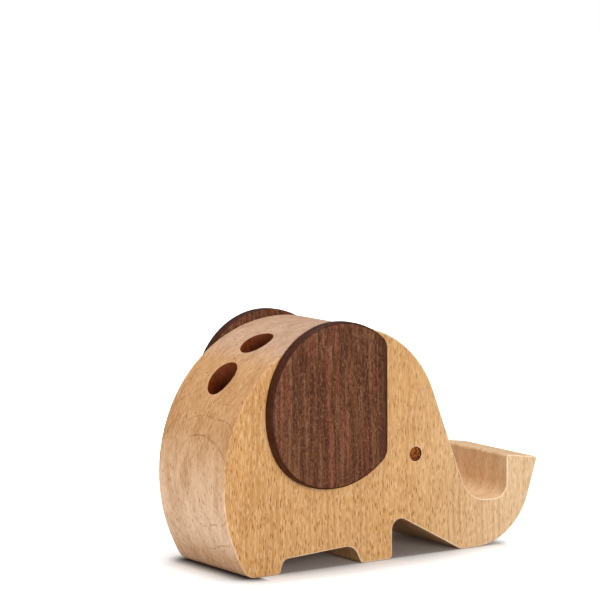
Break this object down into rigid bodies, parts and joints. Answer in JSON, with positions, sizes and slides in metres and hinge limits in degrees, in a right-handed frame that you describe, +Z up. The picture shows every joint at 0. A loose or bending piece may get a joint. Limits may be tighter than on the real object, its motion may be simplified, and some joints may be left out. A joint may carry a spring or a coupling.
{
  "type": "pen holder",
  "caption": "Solid wood desk pen holder sawn to an elephant's side outline, with slanted pen bores in its back, glued walnut ears and a phone slot behind its upturned trunk.",
  "frame": {"origin": "middle of the length and thickness, on the surface that the feet stand on", "axes": "+X towards the trunk's tip, +Y towards the left ear, +Z up"},
  "size_m": [0.1296, 0.0494, 0.0831],
  "materials": {
    "block_wood": "sanded beech with a thin satin oil finish",
    "ear_wood": "sanded walnut with a thin satin oil finish",
    "eye_wood": "dark reddish wood plug, satin"
  },
  "bodies": {
    "root": {"body_block": "block_wood", "right_ear": "ear_wood", "left_ear": "ear_wood", "right_eye": "eye_wood", "left_eye": "eye_wood"}
  },
  "joints": []
}
